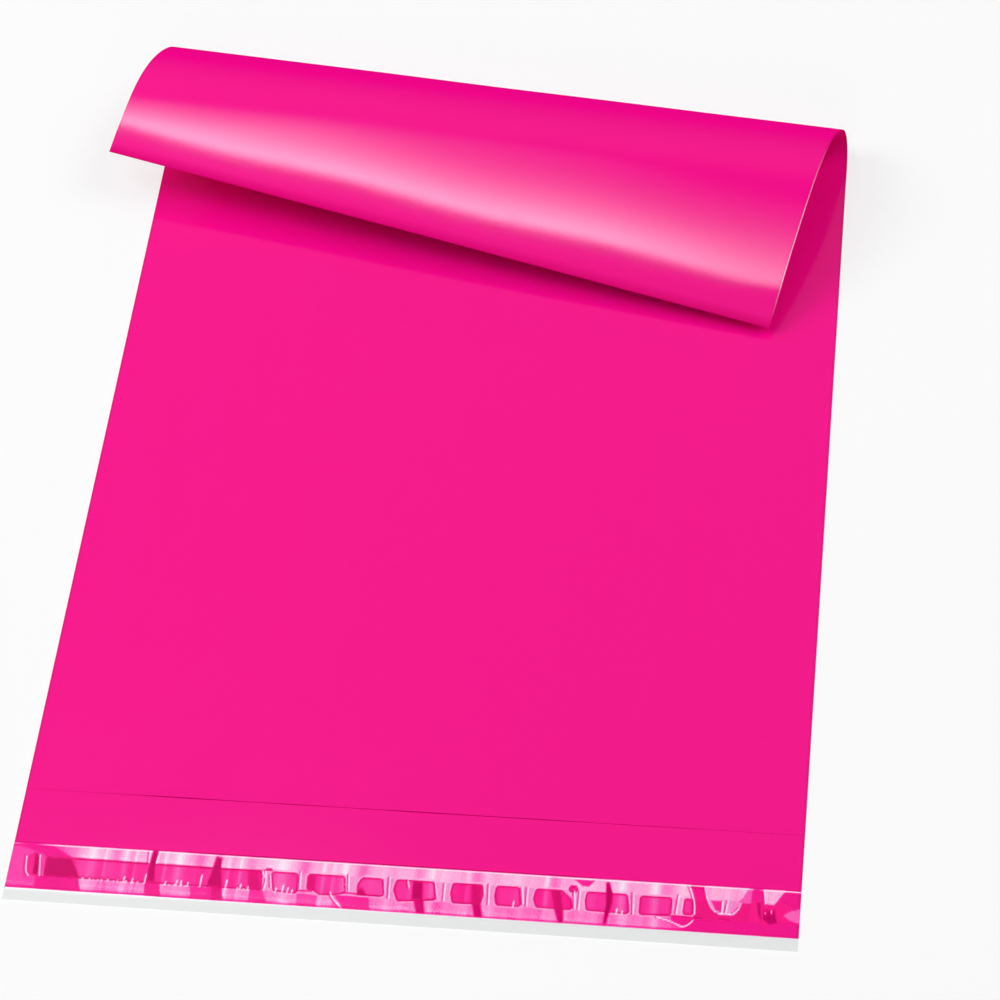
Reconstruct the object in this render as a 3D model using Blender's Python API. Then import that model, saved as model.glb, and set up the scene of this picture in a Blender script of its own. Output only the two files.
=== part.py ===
"""A poly mailer bag: one folded and side-welded film whose closed end is rolled over, a band of
adhesive on its flap, and the clear release liner that covers the band.

Units are metres. X runs across the bag, Y from the mouth towards the closed end, Z up. The origin
is the middle of the mouth, on the bag's underside.
"""

import math
from bisect import bisect_right

import bmesh
import bpy
from mathutils import Matrix, Vector

# The bag, laid flat
BAG_WIDTH = 0.280
POCKET_LENGTH = 0.420
FLAP_LENGTH = 0.039
FILM_THICKNESS = 0.00006
POCKET_GAP = 0.00010
SEAM_WIDTH = 0.002

# The closed end, rolled up and over towards the mouth
ROLLED_LENGTH = 0.106
ROLL_SKEW = 0.035
TIGHT_RADIUS = 0.0095
TIGHT_TURN = math.radians(136)
SOFT_RADIUS = 0.0404
LAST_RADIUS = 0.168
CORNER_HEIGHT = 0.0039
FACET_TURN = math.radians(7)
FREE_END_FACETS = 4

# The closure on the flap
ADHESIVE_WIDTH = 0.009
ADHESIVE_INSET = 0.0045
ADHESIVE_END_MARGIN = 0.002
ADHESIVE_THICKNESS = 0.00010
LINER_WIDTH = 0.0218
LINER_OVERHANG = 0.0050
LINER_THICKNESS = 0.00005
CELL_PITCH = 0.0156
TUNNEL_WIDTH = 0.0034
BLISTER_HEIGHT = 0.0005
BLISTER_SLOPE = 0.0008
TOUCH_GAP = 0.0003

# Worked out from the sizes above
BAG_THICKNESS = 2 * FILM_THICKNESS + POCKET_GAP
FLAP_EDGE = -FLAP_LENGTH
ADHESIVE_BOTTOM = FILM_THICKNESS + TOUCH_GAP
LINER_BOTTOM = ADHESIVE_BOTTOM + ADHESIVE_THICKNESS + TOUCH_GAP
ROLL_ANGLE = math.atan2(ROLL_SKEW, BAG_WIDTH)
ROLL_AXIS = Vector((math.cos(ROLL_ANGLE), -math.sin(ROLL_ANGLE)))
ROLL_WAY = Vector((math.sin(ROLL_ANGLE), math.cos(ROLL_ANGLE)))
ROLL_START = Vector((0.0, POCKET_LENGTH - ROLLED_LENGTH))
LONGEST_REACH = (Vector((BAG_WIDTH / 2, POCKET_LENGTH)) - ROLL_START).dot(ROLL_WAY)


def clear_scene():
    for obj in list(bpy.data.objects):
        bpy.data.objects.remove(obj)


def new_collection(name):
    collection = bpy.data.collections.new(name)
    bpy.context.scene.collection.children.link(collection)
    return collection


def make_material(name, color, roughness, alpha=1.0):
    material = bpy.data.materials.new(name)
    material.use_nodes = True
    shader = material.node_tree.nodes["Principled BSDF"]
    shader.inputs["Base Color"].default_value = (*color, 1.0)
    shader.inputs["Roughness"].default_value = roughness
    shader.inputs["Metallic"].default_value = 0.0
    shader.inputs["Alpha"].default_value = alpha
    return material


def object_from_bmesh(bm, name, collection):
    mesh = bpy.data.meshes.new(name)
    bm.to_mesh(mesh)
    bm.free()
    obj = bpy.data.objects.new(name, mesh)
    collection.objects.link(obj)
    return obj


def make_box(name, low, high, collection):
    """A box between two opposite corners."""
    low, high = Vector(low), Vector(high)
    bm = bmesh.new()
    bmesh.ops.create_cube(bm, size=1.0)
    place = Matrix.Translation((low + high) / 2) @ Matrix.Diagonal((*(high - low), 1.0))
    bmesh.ops.transform(bm, matrix=place, verts=bm.verts)
    return object_from_bmesh(bm, name, collection)


def cut_with(obj, cutter):
    cutter.hide_render = True
    cutter.display_type = "WIRE"
    difference = obj.modifiers.new(cutter.name, "BOOLEAN")
    difference.operation = "DIFFERENCE"
    difference.solver = "EXACT"
    difference.object = cutter


def roll_stations(soft_turn):
    """The creases of the rolled end, seen along its axis, each as (film length from the roll's
    start, place, mitre). The film leaves the floor in a tight bend, comes back over the bag in a
    softer one that turns by soft_turn, and is almost straight from there to its end."""
    tight_length = TIGHT_RADIUS * TIGHT_TURN
    soft_length = SOFT_RADIUS * soft_turn
    free_length = LONGEST_REACH - tight_length - soft_length
    stretches = [
        (tight_length, TIGHT_TURN, math.ceil(TIGHT_TURN / FACET_TURN)),
        (soft_length, soft_turn, math.ceil(soft_turn / FACET_TURN)),
        (free_length, free_length / LAST_RADIUS, FREE_END_FACETS),
    ]
    lengths = [0.0]
    places = [Vector((0.0, 0.0))]
    slopes = [0.0]
    heading = 0.0
    for length, turn, facets in stretches:
        for _ in range(facets):
            step = length / facets
            slope = heading + turn / facets / 2
            lengths.append(lengths[-1] + step)
            places.append(places[-1] + step * Vector((math.cos(slope), math.sin(slope))))
            slopes.append(slope)
            heading += turn / facets
    mitres = []
    for before, after in zip(slopes, slopes[1:] + slopes[-1:]):
        normal = (before + after) / 2 + math.pi / 2
        reach = 1 / math.cos((after - before) / 2)
        mitres.append(reach * Vector((math.cos(normal), math.sin(normal))))
    return list(zip(lengths, places, mitres))


def settled_stations():
    """The creases once the soft bend has turned until the lowest corner of the closed end is
    CORNER_HEIGHT above the bag's underside."""
    least = 0.0
    most = (LONGEST_REACH - TIGHT_RADIUS * TIGHT_TURN) / SOFT_RADIUS
    for _ in range(40):
        soft_turn = (least + most) / 2
        if roll_stations(soft_turn)[-1][1].y > CORNER_HEIGHT:
            least = soft_turn
        else:
            most = soft_turn
    return roll_stations(least)


def rolled(point, stations):
    """Where a point of the flat bag is once the closed end is rolled over. Between two creases the
    film stays flat, so that both of its panels keep their thickness and the air between them."""
    on_floor = point.xy - ROLL_START
    length = on_floor.dot(ROLL_WAY)
    if length <= 0:
        return point.copy()
    crease = bisect_right([station[0] for station in stations], length) - 1
    crease = min(crease, len(stations) - 2)
    length_a, place_a, mitre_a = stations[crease]
    length_b, place_b, mitre_b = stations[crease + 1]
    share = (length - length_a) / (length_b - length_a)
    seen = (place_a + mitre_a * point.z).lerp(place_b + mitre_b * point.z, share)
    on_floor = ROLL_START + ROLL_AXIS * on_floor.dot(ROLL_AXIS) + ROLL_WAY * seen.x
    return Vector((on_floor.x, on_floor.y, seen.y))


def make_bag_film(parts, cutters):
    """Back panel and flap, closed-end fold, front panel and side welds, in one film. A slab as
    thick as the empty bag loses the air over its flap and in its pocket, and is then rolled."""
    side = BAG_WIDTH / 2
    obj = make_box("bag_film", (-side, FLAP_EDGE, 0), (side, POCKET_LENGTH, BAG_THICKNESS), parts)
    over_flap = make_box(
        "air_over_flap",
        (-2 * side, 2 * FLAP_EDGE, FILM_THICKNESS),
        (2 * side, 0, 2 * BAG_THICKNESS),
        cutters,
    )
    pocket = make_box(
        "air_in_pocket",
        (SEAM_WIDTH - side, FLAP_EDGE, FILM_THICKNESS),
        (side - SEAM_WIDTH, POCKET_LENGTH - FILM_THICKNESS, FILM_THICKNESS + POCKET_GAP),
        cutters,
    )
    cut_with(obj, over_flap)
    cut_with(obj, pocket)
    bpy.context.view_layer.update()
    flat = bpy.data.meshes.new_from_object(obj.evaluated_get(bpy.context.evaluated_depsgraph_get()))
    obj.modifiers.clear()

    stations = settled_stations()
    bm = bmesh.new()
    bm.from_mesh(flat)
    bpy.data.meshes.remove(flat)
    for length, _, _ in stations[:-1]:
        crease = ROLL_START + ROLL_WAY * length
        bmesh.ops.bisect_plane(
            bm,
            geom=bm.verts[:] + bm.edges[:] + bm.faces[:],
            plane_co=(*crease, 0),
            plane_no=(*ROLL_WAY, 0),
            dist=1e-7,
        )
    for vert in bm.verts:
        vert.co = rolled(vert.co, stations)
    bm.to_mesh(obj.data)
    bm.free()
    obj.data.shade_smooth()
    obj.data.set_sharp_from_angle(angle=math.radians(30))
    obj.data.materials.append(make_material("hot_pink_film", (0.94, 0.01, 0.25), 0.3))
    return obj


def make_adhesive_strip(parts):
    """The band of tacky hot-melt that closes the flap, a little short of the bag's side edges."""
    side = BAG_WIDTH / 2 - ADHESIVE_END_MARGIN
    near = FLAP_EDGE + ADHESIVE_INSET
    far = near + ADHESIVE_WIDTH
    top = ADHESIVE_BOTTOM + ADHESIVE_THICKNESS
    obj = make_box("adhesive_strip", (-side, near, ADHESIVE_BOTTOM), (side, far, top), parts)
    obj.data.materials.append(make_material("clear_hot_melt", (0.95, 0.45, 0.65), 0.2))
    return obj


def liner_columns():
    """Places across the liner, each with how far it is lifted outside the cells where it sticks
    and inside them. Two tunnels of air with a shallow groove between them part each two cells."""
    cells = round(BAG_WIDTH / CELL_PITCH)
    pitch = BAG_WIDTH / cells
    columns = [(-BAG_WIDTH / 2, 1.0)]
    for cell in range(cells):
        start = -BAG_WIDTH / 2 + cell * pitch + TUNNEL_WIDTH / 2
        end = start + pitch - TUNNEL_WIDTH
        columns += [(start, 1.0), (start + BLISTER_SLOPE, 0.0), (end - BLISTER_SLOPE, 0.0)]
        columns += [(end, 1.0), (end + TUNNEL_WIDTH / 2, 0.5)]
    columns[-1] = (BAG_WIDTH / 2, 1.0)
    return columns


def liner_rows():
    """Places along the liner's width, and whether the liner reaches the adhesive there."""
    near = FLAP_EDGE + ADHESIVE_INSET
    far = near + ADHESIVE_WIDTH
    edge = FLAP_EDGE - LINER_OVERHANG
    return [
        (edge, False),
        (near, False),
        (near + BLISTER_SLOPE, True),
        (far - BLISTER_SLOPE, True),
        (far, False),
        (edge + LINER_WIDTH, False),
    ]


def make_release_liner(parts):
    """The clear film over the adhesive. It sticks in a row of cells, is lifted by air between and
    around them, and reaches past the flap's edge as a lip to pull it off by."""
    columns = liner_columns()
    rows = liner_rows()
    bm = bmesh.new()
    bmesh.ops.create_grid(bm, x_segments=len(columns) - 1, y_segments=len(rows) - 1, size=0.5)
    for vert in bm.verts:
        x, lift = columns[round((vert.co.x + 0.5) * (len(columns) - 1))]
        y, sticks = rows[round((vert.co.y + 0.5) * (len(rows) - 1))]
        lifted = lift if sticks else 1.0
        vert.co = (x, y, LINER_BOTTOM + BLISTER_HEIGHT * lifted)
    top = bmesh.ops.extrude_face_region(bm, geom=bm.faces[:])["geom"]
    raised = [item for item in top if isinstance(item, bmesh.types.BMVert)]
    bmesh.ops.translate(bm, vec=(0, 0, LINER_THICKNESS), verts=raised)
    bmesh.ops.recalc_face_normals(bm, faces=bm.faces)
    obj = object_from_bmesh(bm, "release_liner", parts)
    obj.data.materials.append(make_material("clear_liner_film", (0.95, 0.95, 0.96), 0.08, 0.3))
    return obj


def main():
    clear_scene()
    parts = new_collection("poly_mailer_bag")
    cutters = new_collection("cutters")
    make_bag_film(parts, cutters)
    make_adhesive_strip(parts)
    make_release_liner(parts)


main()
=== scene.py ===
# %% [markdown]
# # A poly mailer bag
# The real object is one long piece of thin polyethylene film. It is folded in half, both side edges
# are welded, and a flap is left over at the mouth. A band of tacky adhesive runs across the flap
# under a clear liner. Here the bag is empty and lies on its back, with its closed end rolled up and
# over towards the mouth. Everything is in metres: X runs across the bag, Y from the mouth to the
# closed end, and Z is up.

import math

import bmesh
import bpy
import numpy as np
from mathutils import Matrix, Vector


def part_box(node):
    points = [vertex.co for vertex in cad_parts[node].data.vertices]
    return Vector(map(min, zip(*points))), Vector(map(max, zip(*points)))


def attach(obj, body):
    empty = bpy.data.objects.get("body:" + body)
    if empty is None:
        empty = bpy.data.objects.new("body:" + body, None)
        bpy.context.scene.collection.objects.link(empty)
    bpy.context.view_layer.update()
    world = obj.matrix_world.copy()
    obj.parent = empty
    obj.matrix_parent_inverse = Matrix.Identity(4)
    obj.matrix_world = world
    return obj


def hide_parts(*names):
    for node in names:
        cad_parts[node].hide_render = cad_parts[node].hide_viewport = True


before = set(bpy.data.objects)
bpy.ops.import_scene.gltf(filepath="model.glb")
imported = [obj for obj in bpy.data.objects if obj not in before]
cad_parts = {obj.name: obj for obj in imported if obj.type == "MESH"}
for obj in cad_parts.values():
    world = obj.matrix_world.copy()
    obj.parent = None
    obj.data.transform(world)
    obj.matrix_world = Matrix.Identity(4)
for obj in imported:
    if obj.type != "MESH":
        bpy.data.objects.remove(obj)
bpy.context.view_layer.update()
print("measured model:", sorted(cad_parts))

# %% [markdown]
# ## Sizes
# The measured model gives where each piece is. What it can't give are the sizes of the roll, so
# those are written again here: a roll is settled by the radii of its bends and by how much film
# each bend uses up.

# %% Sizes of the bag and of its roll
film_low, film_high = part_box("bag_film")
glue_low, glue_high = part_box("adhesive_strip")

HALF_WIDTH = film_high.x
FLAP_EDGE = film_low.y
POCKET_LENGTH = 0.420
FILM_THICKNESS = 0.00006

ROLLED_LENGTH = 0.106
ROLL_SKEW = 0.035
TIGHT_RADIUS = 0.0095
TIGHT_TURN = math.radians(136)
SOFT_RADIUS = 0.0404
SOFT_TURN = math.radians(56)
LAST_RADIUS = 0.168

ROLL_ANGLE = math.atan2(ROLL_SKEW, 2 * HALF_WIDTH)
ROLL_AXIS = Vector((math.cos(ROLL_ANGLE), -math.sin(ROLL_ANGLE)))
ROLL_WAY = Vector((math.sin(ROLL_ANGLE), math.cos(ROLL_ANGLE)))
ROLL_START = Vector((0.0, POCKET_LENGTH - ROLLED_LENGTH))
print(f"bag {2000 * HALF_WIDTH:.0f} mm wide, flap {-1000 * FLAP_EDGE:.0f} mm long")

# %% [markdown]
# ## The camera
# A camera is a place, a point it looks at, and a lens. This one looks down at the bag at 57
# degrees with a long lens, which keeps the far end of the bag almost as wide as the near end, and
# it is tipped a little about its own axis.

# %% Camera
CAMERA_PLACE = (0.1691, -0.4478, 0.9166)
CAMERA_AIM = (0.0178, 0.1323, 0.0)
CAMERA_TIP = math.radians(-9.71)
CAMERA_LENS_MM = 104.4


def aimed(place, aim, turn):
    """The matrix of a camera or a lamp that looks from a place at a point, turned about its axis."""
    facing = (Vector(aim) - Vector(place)).to_track_quat("-Z", "Y").to_matrix().to_4x4()
    return Matrix.Translation(place) @ facing @ Matrix.Rotation(turn, 4, "Z")


camera_data = bpy.data.cameras.new("camera")
camera_data.lens = CAMERA_LENS_MM
camera_data.sensor_width = 36.0
camera_data.clip_start = 0.01
camera = bpy.data.objects.new("camera", camera_data)
bpy.context.scene.collection.objects.link(camera)
camera.matrix_world = aimed(CAMERA_PLACE, CAMERA_AIM, CAMERA_TIP)
bpy.context.scene.camera = camera

# %% [markdown]
# ## Materials
# Every material is a Principled shader with a few nodes in front of it. One function gives a node
# its settings and its links, one adds such a node, and one turns a colour as a screen shows it
# (sRGB, written in hex) into the linear numbers that a shader works in.


# %% Helpers for materials
def linear(hex_color):
    """Linear RGBA of an sRGB colour such as F81A8A."""
    channels = [int(hex_color[i : i + 2], 16) / 255 for i in (0, 2, 4)]
    return (*[c / 12.92 if c <= 0.04045 else ((c + 0.055) / 1.055) ** 2.4 for c in channels], 1.0)


def set_node(tree, node, settings=None, links=None):
    """Settings are a node's own properties or values of its inputs. Links are what feeds its
    inputs: an output of another node, or a node when its first output is meant."""
    for name, value in (settings or {}).items():
        if isinstance(name, str) and hasattr(node, name):
            setattr(node, name, value)
        else:
            node.inputs[name].default_value = value
    for name, source in (links or {}).items():
        output = source.outputs[0] if isinstance(source, bpy.types.Node) else source
        tree.links.new(output, node.inputs[name])
    return node


def add_node(tree, kind, settings=None, links=None):
    """Adds a node with its settings and its links."""
    return set_node(tree, tree.nodes.new("ShaderNode" + kind), settings, links)


def new_material(name):
    """A new material with its tree and its Principled shader."""
    material = bpy.data.materials.new(name)
    material.use_nodes = True
    return material, material.node_tree, material.node_tree.nodes["Principled BSDF"]


# %% [markdown]
# ### Hot pink film
# The bag is blown low-density polyethylene, about 60 microns thick, coloured right through. Blown
# film is smooth but never optically flat: it has a soft gloss, and faint bands, 10 to 20 mm wide,
# run along it. They are a stretched noise on the bag's own UV map, which is the film laid flat in
# metres, and sway its colour and its roughness a little.

# %% Drawn bands
FILM_PINK = "F8088D"
FILM_BAND = "F8068A"
BAND_WIDTH = 0.018
BAND_STRETCH = 0.12
GLOSSY_BAND = 0.09
DULL_BAND = 0.115


def drawn_bands(tree, flat):
    """The colour and the roughness of the film's bands."""
    bands = add_node(
        tree,
        "Mapping",
        {"Scale": (1 / BAND_WIDTH, BAND_STRETCH / BAND_WIDTH, 1.0)},
        {"Vector": flat.outputs["UV"]},
    )
    noise = add_node(tree, "TexNoise", {"Scale": 1.0, "Detail": 2.0}, {"Vector": bands.outputs["Vector"]})
    pink = add_node(
        tree, "Mix", {"data_type": "RGBA", 6: linear(FILM_PINK), 7: linear(FILM_BAND)}, {0: noise}
    )
    roughness = add_node(tree, "MapRange", {"To Min": GLOSSY_BAND, "To Max": DULL_BAND}, {"Value": noise})
    return pink.outputs[2], roughness


# %% [markdown]
# ### Welds, closed end and cut edge
# Along the welds two layers of film are melted together, which looks a little deeper. At the closed
# end the film turns over, and towards it the film is painted deeper too: painted shade along the
# roll's free edge. The sides were cut by a hot blade, which leaves a thin bead. Along the roll's right
# edge a pale line is painted: a painted highlight where the roll holds that edge up to the light.
# Shares of these colours are mixed in by the distance from the film's edges.

# %% Edges of the film
# Deeper pink for the welds, and painted shade towards the closed end
WELD_AND_SHADE_PINK = "D8006C"
WELD_WIDTH = 0.0011
WELD_SHARE = 0.8
END_SHADE_WIDTH = 0.0045
END_SHADE_SHARE = 0.9

# The pale line along the roll's right edge is a painted highlight
CUT_HIGHLIGHT_PINK = "FFB6DC"
CUT_WIDTH = 0.0005
CUT_HIGHLIGHT_INSET = 0.00015
CUT_HIGHLIGHT_SHARE = 0.8
# How far from the closed end the painted highlight starts, is brightest, begins to fade and ends
CUT_START, CUT_BRIGHT, CUT_FADE, CUT_END = 0.080, 0.050, 0.020, 0.004


def deeper_edges(tree, place, pink):
    """The colour with its deeper welds and the painted shade towards its closed end, and the share of that
    shade in it.
    """
    across = add_node(tree, "Math", {"operation": "ABSOLUTE"}, {0: place.outputs["X"]})
    weld = add_node(
        tree,
        "MapRange",
        {"From Min": HALF_WIDTH - WELD_WIDTH, "From Max": HALF_WIDTH, "To Max": WELD_SHARE},
        {"Value": across},
    )
    closed_end = add_node(
        tree,
        "MapRange",
        {"From Min": POCKET_LENGTH - END_SHADE_WIDTH, "From Max": POCKET_LENGTH, "To Max": END_SHADE_SHARE},
        {"Value": place.outputs["Y"]},
    )
    deeper = add_node(tree, "Math", {"operation": "MAXIMUM"}, {0: weld, 1: closed_end})
    color = add_node(tree, "Mix", {"data_type": "RGBA", 7: linear(WELD_AND_SHADE_PINK)}, {0: deeper, 6: pink})
    return color.outputs[2], closed_end


def painted_cut_highlight(tree, place, color):
    """The colour with the painted highlight, a pale line, along the roll's right edge."""
    limits = [
        ("X", HALF_WIDTH - CUT_WIDTH, HALF_WIDTH - CUT_HIGHLIGHT_INSET, 1.0),
        ("Y", POCKET_LENGTH - CUT_START, POCKET_LENGTH - CUT_BRIGHT, CUT_HIGHLIGHT_SHARE),
        ("Y", POCKET_LENGTH - CUT_END, POCKET_LENGTH - CUT_FADE, 1.0),
    ]
    share = None
    for axis, low, high, full in limits:
        settings = {"From Min": low, "From Max": high, "To Max": full}
        part = add_node(tree, "MapRange", settings, {"Value": place.outputs[axis]})
        share = add_node(tree, "Math", {"operation": "MULTIPLY"}, {0: share, 1: part}) if share else part
    # The painted highlight is mixed into the film's colour
    with_highlight = add_node(tree, "Mix", {"data_type": "RGBA", 7: linear(CUT_HIGHLIGHT_PINK)}, {0: share, 6: color})
    return with_highlight.outputs[2]


# %% [markdown]
# ### Haze on the roll
# Bending the film sharply stretches it, and stretched film turns hazy. Haze shows most at a slant:
# towards the ridge of the roll, the film stops mirroring the pale room and shows its own deep
# pink. So the mirroring fades with the angle on the roll, and is gone in the tight bend. The angle
# comes from Layer Weight, which is 0 where the film faces the camera and 1 where it is edge-on.

# %% Fading mirror
FULL_MIRROR = 0.5
HAZE_ANGLES = (0.34, 0.54)
# In metres of film past the start of the roll
ROLL_HAZE_FROM = (-0.015, -0.003)
TIGHT_HAZE_TO = (0.022, 0.034)


def fading_mirror(tree, flat, closed_end):
    """How strongly the film mirrors, for the shader's specular level."""
    past_start = add_node(
        tree,
        "VectorMath",
        {"operation": "DOT_PRODUCT", 1: (ROLL_WAY.x, ROLL_WAY.y, 0.0)},
        {0: flat.outputs["UV"]},
    )
    start = ROLL_START @ ROLL_WAY
    in_roll = add_node(
        tree,
        "MapRange",
        {"From Min": start + ROLL_HAZE_FROM[0], "From Max": start + ROLL_HAZE_FROM[1]},
        {"Value": past_start.outputs["Value"]},
    )
    after_tight_bend = add_node(
        tree,
        "MapRange",
        {"From Min": start + TIGHT_HAZE_TO[0], "From Max": start + TIGHT_HAZE_TO[1]},
        {"Value": past_start.outputs["Value"]},
    )
    tight = add_node(tree, "Math", {"operation": "SUBTRACT", 0: 1.0}, {1: after_tight_bend})
    facing = add_node(tree, "LayerWeight", {"Blend": 0.5})
    slanted = add_node(
        tree,
        "MapRange",
        {"From Min": HAZE_ANGLES[0], "From Max": HAZE_ANGLES[1]},
        {"Value": facing.outputs["Facing"]},
    )
    hazy = add_node(tree, "Math", {"operation": "MAXIMUM"}, {0: slanted, 1: tight})
    haze = add_node(tree, "Math", {"operation": "MULTIPLY"}, {0: hazy, 1: in_roll})
    dull = add_node(tree, "Math", {"operation": "MAXIMUM"}, {0: haze, 1: closed_end})
    return add_node(tree, "MapRange", {"To Min": FULL_MIRROR, "To Max": 0.0}, {"Value": dull})


# %% [markdown]
# ### The film's material
# The three parts come together on one shader, with polyethylene's refractive index of 1.51.

# %% Film material
def make_film_material():
    material, tree, shader = new_material("blown_polyethylene_film")
    flat = add_node(tree, "UVMap", {"uv_map": "flat"})
    place = add_node(tree, "SeparateXYZ", links={"Vector": flat.outputs["UV"]})
    pink, roughness = drawn_bands(tree, flat)
    color, closed_end = deeper_edges(tree, place, pink)
    color = painted_cut_highlight(tree, place, color)
    mirror = fading_mirror(tree, flat, closed_end)
    links = {"Base Color": color, "Roughness": roughness, "Specular IOR Level": mirror}
    set_node(tree, shader, {"IOR": 1.51}, links)
    return material


film_material = make_film_material()
print("material:", film_material.name)

# %% [markdown]
# ## The bag film
# ### The shape of the roll
# Seen from its end, the rolled film is a line that curls: it leaves the floor in a tight bend,
# comes back over the bag in a softer one, and ends almost straight. Film is springy, so its
# curvature never jumps. The line is found by walking along it in small steps, and turning a little
# at each step by a curvature that fades from one bend into the next.

# %% The roll's line
CURL_STEP = 0.00025
CURL_FADE = 0.004
OPENING_FADE = 0.009
CURL_REACH = 0.130


def soft_step(low, high, value):
    """0 below low, 1 above high, and smooth between them. It takes numbers or arrays."""
    share = np.clip((value - low) / (high - low), 0.0, 1.0)
    return share * share * (3 - 2 * share)


def curvature(length):
    """How sharply the film bends, at a length of film past the roll's start."""
    tight_end = TIGHT_RADIUS * TIGHT_TURN
    soft_end = tight_end + SOFT_RADIUS * SOFT_TURN
    bend = soft_step(-CURL_FADE, CURL_FADE, length) / TIGHT_RADIUS
    opening = soft_step(-OPENING_FADE, OPENING_FADE, length - tight_end)
    bend += opening * (1 / SOFT_RADIUS - 1 / TIGHT_RADIUS)
    bend += soft_step(-CURL_FADE, CURL_FADE, length - soft_end) * (1 / LAST_RADIUS - 1 / SOFT_RADIUS)
    return bend


curl_lengths = np.arange(-CURL_FADE, CURL_REACH, CURL_STEP)
curl_headings = np.cumsum(curvature(curl_lengths + CURL_STEP / 2)) * CURL_STEP
curl_ways = np.cumsum(np.cos(curl_headings)) * CURL_STEP - CURL_FADE
curl_heights = np.cumsum(np.sin(curl_headings)) * CURL_STEP
print(f"the roll is {1000 * curl_heights.max():.1f} mm high")


def film_place(x, y, height):
    """Where points of the flat bag are once its closed end is rolled over. Height is measured
    from the bag's underside, towards the inside of the roll."""
    off_x, off_y = x - ROLL_START.x, y - ROLL_START.y
    along = off_x * ROLL_AXIS.x + off_y * ROLL_AXIS.y
    length = off_x * ROLL_WAY.x + off_y * ROLL_WAY.y
    way = np.interp(length, curl_lengths, curl_ways)
    up = np.interp(length, curl_lengths, curl_heights, left=0.0)
    heading = np.interp(length, curl_lengths, curl_headings, left=0.0)
    way = np.where(length < -CURL_FADE, length, way) - height * np.sin(heading)
    up = up + height * np.cos(heading)
    return (
        ROLL_START.x + ROLL_AXIS.x * along + ROLL_WAY.x * way,
        ROLL_START.y + ROLL_AXIS.y * along + ROLL_WAY.y * way,
        up,
    )


# %% [markdown]
# ### The pouch
# One grid is the back panel. Extruding it upwards gives the front panel and the welded sides in
# one move, and the wall at the mouth is deleted so that the pocket is open. The flap grows out of
# the back panel's edge at the mouth. The rows of the grid lie across the bag where it is flat, and
# turn to lie along the roll where it bends, so that each row stays straight and the bend is smooth.

# %% Rows and columns of the film
COLUMNS = 100
WELD_COLUMNS = [0.0, 0.0008, 0.0018, 0.0040]
FLAP_ROWS = 10
FLAT_ROWS = 66
TURNING_ROWS = 10
TIGHT_ROWS = 34
SOFT_ROWS = 26
LAST_ROWS = 18
POCKET_ROWS = FLAT_ROWS + TURNING_ROWS + TIGHT_ROWS + SOFT_ROWS + LAST_ROWS
TURNING_LENGTH = 0.045


def roll_line(length):
    """Where a line along the roll crosses the bag's left and right edges, on the flat bag."""
    middle = ROLL_START.y + length / ROLL_WAY.y
    slant = HALF_WIDTH * ROLL_WAY.x / ROLL_WAY.y
    return middle + slant, middle - slant


def column_places(column):
    """Where each column is across the bag. The outermost ones are narrow, for the weld."""
    side = np.sign(column - 0.5)
    inward = (1 - np.abs(2 * column - 1)) * COLUMNS / 2
    counts = [*range(len(WELD_COLUMNS)), COLUMNS / 2]
    return side * (HALF_WIDTH - np.interp(inward, counts, [*WELD_COLUMNS, HALF_WIDTH]))


def row_edges():
    """The left and right end of each row of the pocket, from the mouth to the closed end."""
    tight_end = TIGHT_RADIUS * TIGHT_TURN + CURL_FADE
    soft_end = tight_end + SOFT_RADIUS * SOFT_TURN
    flat_end = roll_line(-TURNING_LENGTH)[1]
    stops = [
        ((0.0, 0.0), FLAT_ROWS),
        ((flat_end, flat_end), TURNING_ROWS),
        (roll_line(-CURL_FADE), TIGHT_ROWS),
        (roll_line(tight_end), SOFT_ROWS),
        (roll_line(soft_end), LAST_ROWS),
        ((POCKET_LENGTH, POCKET_LENGTH), 0),
    ]
    rows = []
    for (start, count), (end, _) in zip(stops, stops[1:]):
        for row in range(count):
            share = row / count
            rows.append([a + (b - a) * share for a, b in zip(start, end)])
    rows.append(list(stops[-1][0]))
    return np.array(rows)


print("film grid:", COLUMNS, "columns,", POCKET_ROWS + FLAP_ROWS, "rows")

# %% [markdown]
# ### Air in the pocket
# The air between the panels is what gives an empty mailer its look: the front panel floats a
# fraction of a millimetre over the back one, held down by the welds and the closed end, and its
# edge at the mouth lifts a little. The film also keeps gentle waves from being blown. They are a
# sum of three sines, each with its height, its lengths across and along the bag, and its shift.

# %% Heights of the front panel
AIR = 0.00010
AIR_AT_WELD = 0.00003
HELD_DOWN = 0.030
RIPPLE_FROM_MOUTH = 0.05
MOUTH_LIFT = 0.0003
MOUTH_REACH = 0.012
MOUTH_WAVES = (0.062, 0.145)
MOUTH_OPENS = (-0.118, -0.085)
MOUTH_CLOSES = (0.060, 0.120)
CLOSED_DROP = 0.7
PANEL_RIPPLE = 0.00030
ROLL_RIPPLE = 0.00015
ROLL_RIPPLE_FROM = (-0.010, 0.045)
RIPPLES = [(1.0, 0.190, 0.310, 0.6), (0.6, 0.115, -0.165, 2.1), (0.35, 0.071, 0.093, 4.0)]


def ripple(x, y):
    """Gentle waves of blown film, between -1 and 1."""
    total = sum(size * np.sin(2 * math.pi * (x / a + y / b) + shift) for size, a, b, shift in RIPPLES)
    return total / sum(size for size, *_ in RIPPLES)


def mouth_height(x, y):
    """How far the front panel's edge lifts at the open part of the mouth."""
    wave = np.sin(2 * math.pi * x / MOUTH_WAVES[0] + 0.8) * np.cos(2 * math.pi * x / MOUTH_WAVES[1])
    open_part = soft_step(*MOUTH_OPENS, x) * (1 - soft_step(*MOUTH_CLOSES, x))
    lift = MOUTH_LIFT * (0.5 + 0.5 * wave) * open_part - CLOSED_DROP * AIR * (1 - open_part)
    return lift * np.exp(-y / MOUTH_REACH)


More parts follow.
